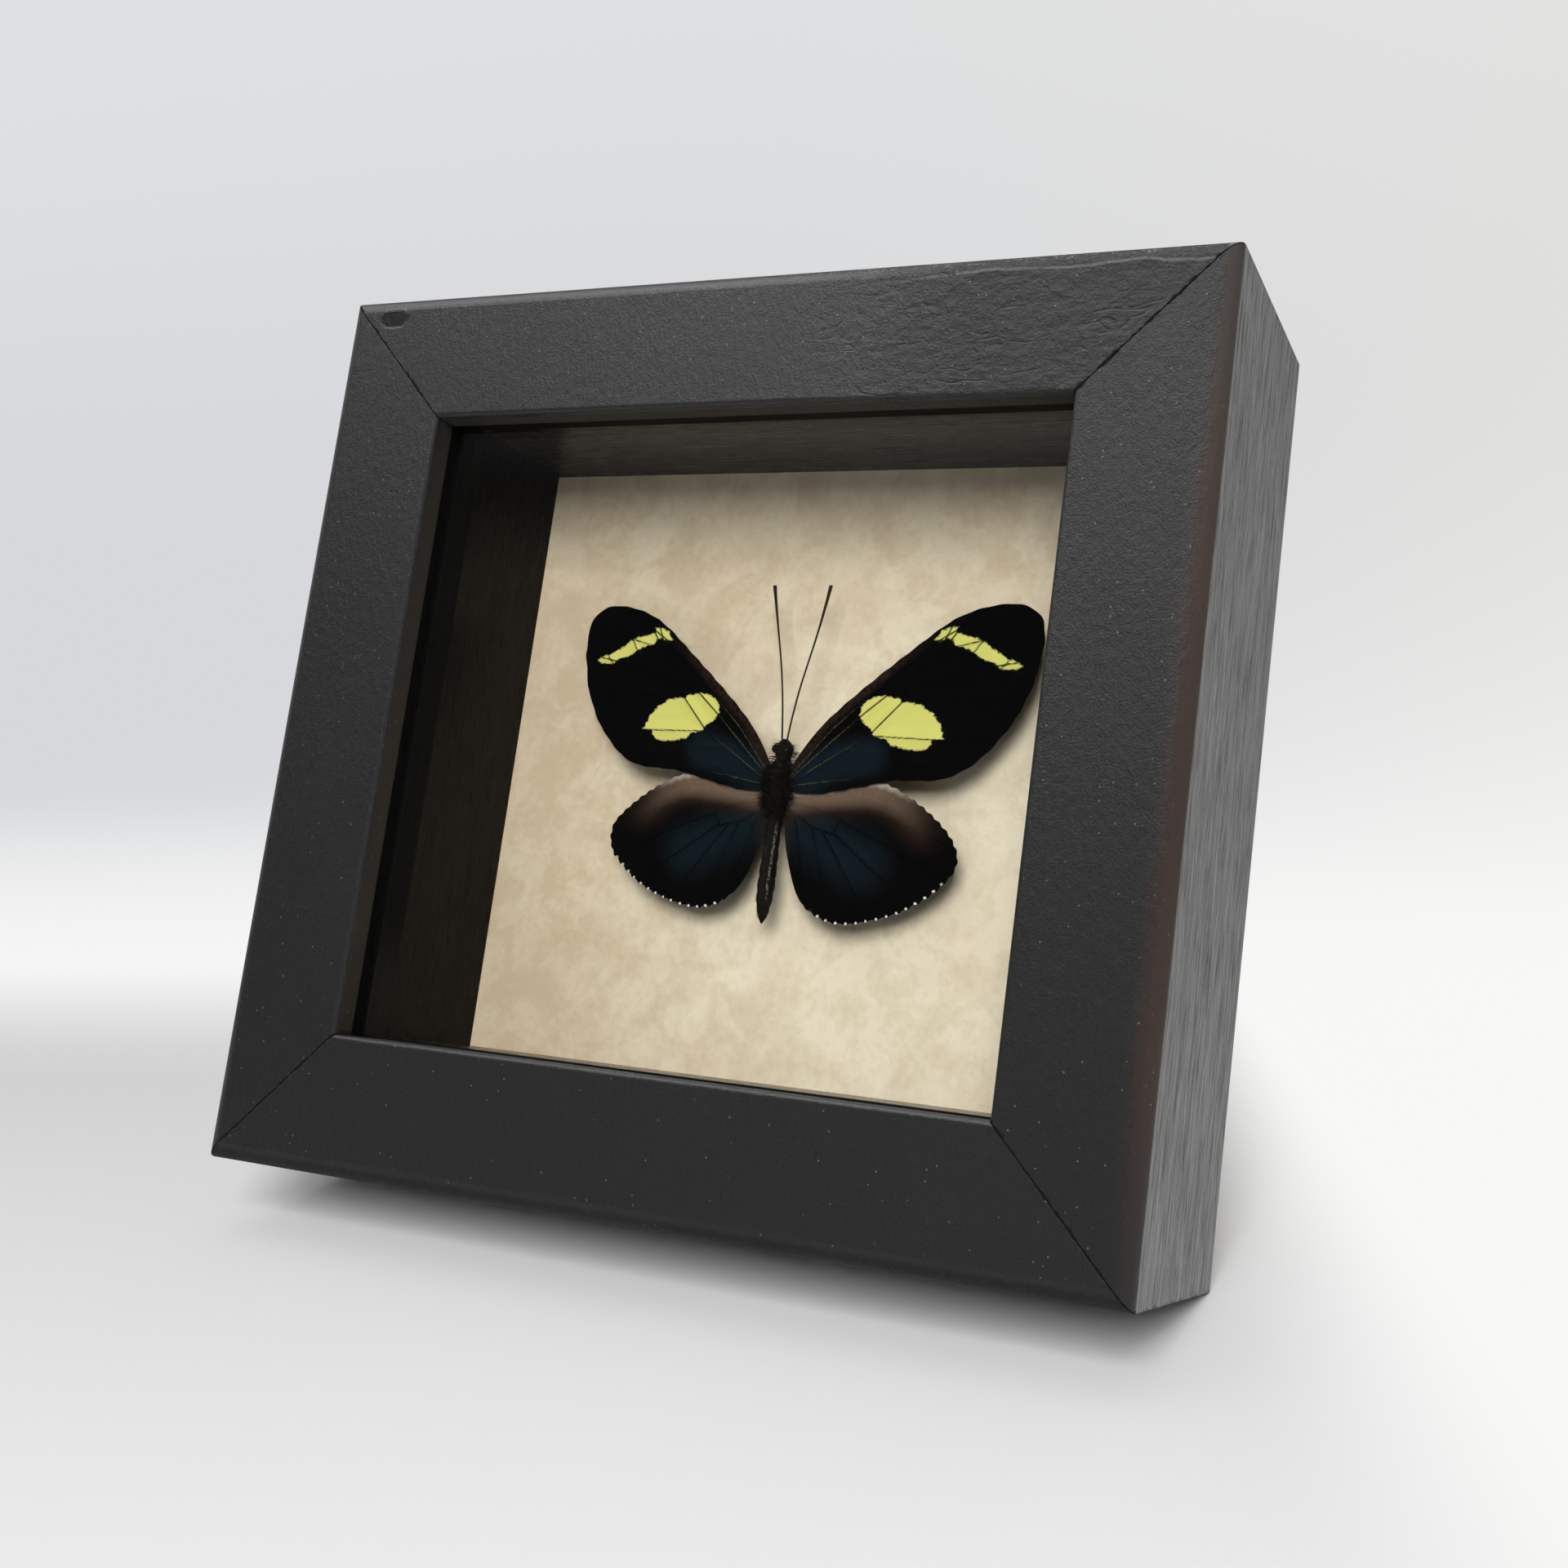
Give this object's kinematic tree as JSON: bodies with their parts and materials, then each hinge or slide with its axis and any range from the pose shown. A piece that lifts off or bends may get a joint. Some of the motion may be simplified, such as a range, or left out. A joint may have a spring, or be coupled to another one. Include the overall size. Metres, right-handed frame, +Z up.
{
  "type": "butterfly display case",
  "caption": "Deep square box frame in black wood with glass front, mounted butterfly on parchment, turn buttons, wall ring and a hinged easel strut it leans back on.",
  "frame": {"origin": "middle of the object on the surface it stands on, halfway from its foremost edge to the strut's foot", "axes": "+Z up, front of the case towards -Y, +X to the right seen from the front; the case leans back 18 degrees about X"},
  "size_m": [0.125, 0.0778, 0.1224],
  "materials": {
    "black_paint": "satin black paint over fine-grained wood",
    "inner_wood": "dark brown-black stain",
    "glass": "clear picture glass",
    "seal_foam": "matt black felt strip",
    "parchment": "mottled tan parchment paper",
    "mount_board": "white-cored mount board",
    "hardboard": "brown hardboard",
    "strut_board": "black-faced hardboard",
    "zinc_steel": "zinc-plated steel",
    "brass_plate": "brass-plated steel",
    "wing": "velvety scales, black with blue bases and lime-yellow patches",
    "insect_body": "dark fine hair"
  },
  "bodies": {
    "case": {"top_rail": "black_paint", "bottom_rail": "black_paint", "left_stile": "black_paint", "right_stile": "black_paint", "corner_nails": "zinc_steel", "glass": "glass", "glass_seal": "seal_foam", "left_spacer": "inner_wood", "right_spacer": "inner_wood", "top_spacer": "inner_wood", "bottom_spacer": "inner_wood", "parchment": "parchment", "mount_board": "mount_board", "backing_board": "hardboard", "forewing_left": "wing", "forewing_right": "wing", "hindwing_left": "wing", "hindwing_right": "wing", "butterfly_body": "insect_body", "antennae": "insect_body", "specimen_pin": "zinc_steel", "turn_button_screws": "zinc_steel", "hinge_board_leaf": "brass_plate", "hinge_pin": "brass_plate", "board_rivets": "brass_plate", "hanger_strap": "zinc_steel", "hanger_screw": "zinc_steel"},
    "strut": {"easel_strut": "strut_board", "hinge_strut_leaf": "brass_plate", "strut_rivets": "brass_plate"},
    "ring": {"hanger_ring": "zinc_steel"},
    "button_top_left": {"turn_button_top_left": "zinc_steel"},
    "button_top_right": {"turn_button_top_right": "zinc_steel"},
    "button_bottom_left": {"turn_button_bottom_left": "zinc_steel"},
    "button_bottom_right": {"turn_button_bottom_right": "zinc_steel"}
  },
  "joints": [
    {"name": "strut_hinge", "type": "hinge", "parent": "case", "child": "strut", "pos_m": [0, 0.02274, 0.07887], "axis": [1, 0, 0], "range_deg": [-28, 0]},
    {"name": "turn_top_left", "type": "hinge", "parent": "case", "child": "button_top_left", "pos_m": [-0.032, 0.02997, 0.10386], "axis": [0, 0.9511, -0.309], "continuous": true},
    {"name": "turn_top_right", "type": "hinge", "parent": "case", "child": "button_top_right", "pos_m": [0.032, 0.02997, 0.10386], "axis": [0, 0.9511, -0.309], "continuous": true},
    {"name": "turn_bottom_left", "type": "hinge", "parent": "case", "child": "button_bottom_left", "pos_m": [-0.032, -0.00155, 0.00686], "axis": [0, 0.9511, -0.309], "continuous": true},
    {"name": "turn_bottom_right", "type": "hinge", "parent": "case", "child": "button_bottom_right", "pos_m": [0.032, -0.00155, 0.00686], "axis": [0, 0.9511, -0.309], "continuous": true},
    {"name": "ring_swing", "type": "hinge", "parent": "case", "child": "ring", "pos_m": [0, 0.03182, 0.10683], "axis": [1, 0, 0], "range_deg": [-15, 160]}
  ]
}
